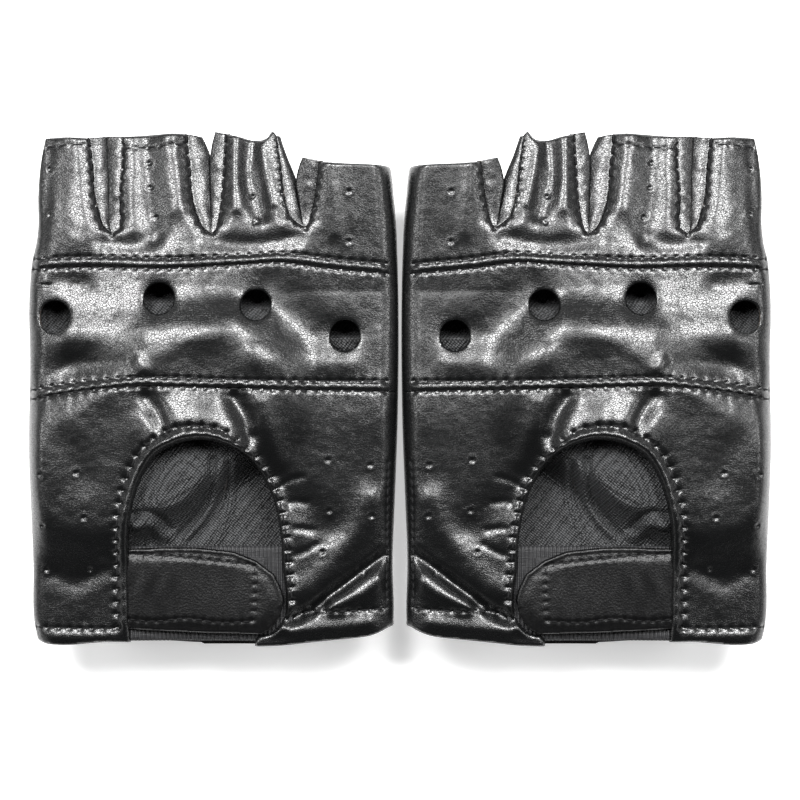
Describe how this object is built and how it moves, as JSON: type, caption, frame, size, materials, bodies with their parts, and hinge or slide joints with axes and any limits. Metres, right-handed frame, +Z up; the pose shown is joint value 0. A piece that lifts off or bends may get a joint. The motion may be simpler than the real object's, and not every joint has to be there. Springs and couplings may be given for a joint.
{
  "type": "fingerless gloves",
  "caption": "Pair of fingerless black leather driving gloves with knuckle holes, a keyhole back and a hook-and-loop wrist strap, lying palm down with the thumbs folded under.",
  "frame": {"origin": "centre of the pair's bounding box, on the surface the gloves lie on", "axes": "+X from the right-hand glove across to the left-hand glove, +Y from the wrists to the fingers, +Z up, out of the backs of the hands"},
  "size_m": [0.2316, 0.1589, 0.0221],
  "materials": {
    "leather": "glossy black grained glove leather",
    "strap_leather": "matte black leather",
    "knit_lining": "black knit",
    "elastic": "ribbed black elastic webbing",
    "hook_and_loop": "black hook-and-loop tape",
    "thread": "black sewing thread"
  },
  "bodies": {
    "right_glove": {"right_palm_panel": "leather", "right_finger_back_panel": "leather", "right_knuckle_panel": "leather", "right_cuff_panel": "leather", "right_fourchette_index_middle": "leather", "right_fourchette_middle_ring": "leather", "right_fourchette_ring_little": "leather", "right_palm_lining": "knit_lining", "right_back_lining": "knit_lining", "right_elastic_band": "elastic", "right_loop_tape": "hook_and_loop", "right_upper_seam_thread_1": "thread", "right_upper_seam_thread_2": "thread", "right_lower_seam_thread_1": "thread", "right_lower_seam_thread_2": "thread", "right_keyhole_thread": "thread", "right_hem_thread": "thread", "right_side_seam_thread": "thread", "right_index_middle_thread": "thread", "right_middle_ring_thread": "thread", "right_ring_little_thread": "thread"},
    "right_strap_flap": {"right_strap": "strap_leather", "right_hook_tape": "hook_and_loop", "right_strap_thread": "thread"},
    "right_thumb": {"right_thumb_stall": "leather", "right_thumb_lining": "knit_lining"},
    "left_glove": {"left_palm_panel": "leather", "left_finger_back_panel": "leather", "left_knuckle_panel": "leather", "left_cuff_panel": "leather", "left_fourchette_index_middle": "leather", "left_fourchette_middle_ring": "leather", "left_fourchette_ring_little": "leather", "left_palm_lining": "knit_lining", "left_back_lining": "knit_lining", "left_elastic_band": "elastic", "left_loop_tape": "hook_and_loop", "left_upper_seam_thread_1": "thread", "left_upper_seam_thread_2": "thread", "left_lower_seam_thread_1": "thread", "left_lower_seam_thread_2": "thread", "left_keyhole_thread": "thread", "left_hem_thread": "thread", "left_side_seam_thread": "thread", "left_index_middle_thread": "thread", "left_middle_ring_thread": "thread", "left_ring_little_thread": "thread"},
    "left_strap_flap": {"left_strap": "strap_leather", "left_hook_tape": "hook_and_loop", "left_strap_thread": "thread"},
    "left_thumb": {"left_thumb_stall": "leather", "left_thumb_lining": "knit_lining"}
  },
  "joints": [
    {"name": "left_glove_lift", "type": "slide", "parent": "right_glove", "child": "left_glove", "axis": [0, 0, 1], "range_m": [0, 0.12]},
    {"name": "right_strap_hinge", "type": "hinge", "parent": "right_glove", "child": "right_strap_flap", "pos_m": [-0.0822, -0.0618, 0.0134], "axis": [0, -1, 0], "range_deg": [0, 110]},
    {"name": "right_thumb_fold", "type": "hinge", "parent": "right_glove", "child": "right_thumb", "pos_m": [-0.0975, -0.0254, 0.0002], "axis": [0, 1, 0], "range_deg": [0, 170]},
    {"name": "left_strap_hinge", "type": "hinge", "parent": "left_glove", "child": "left_strap_flap", "pos_m": [0.0822, -0.0618, 0.0134], "axis": [0, 1, 0], "range_deg": [0, 110]},
    {"name": "left_thumb_fold", "type": "hinge", "parent": "left_glove", "child": "left_thumb", "pos_m": [0.0975, -0.0254, 0.0002], "axis": [0, -1, 0], "range_deg": [0, 170]}
  ]
}
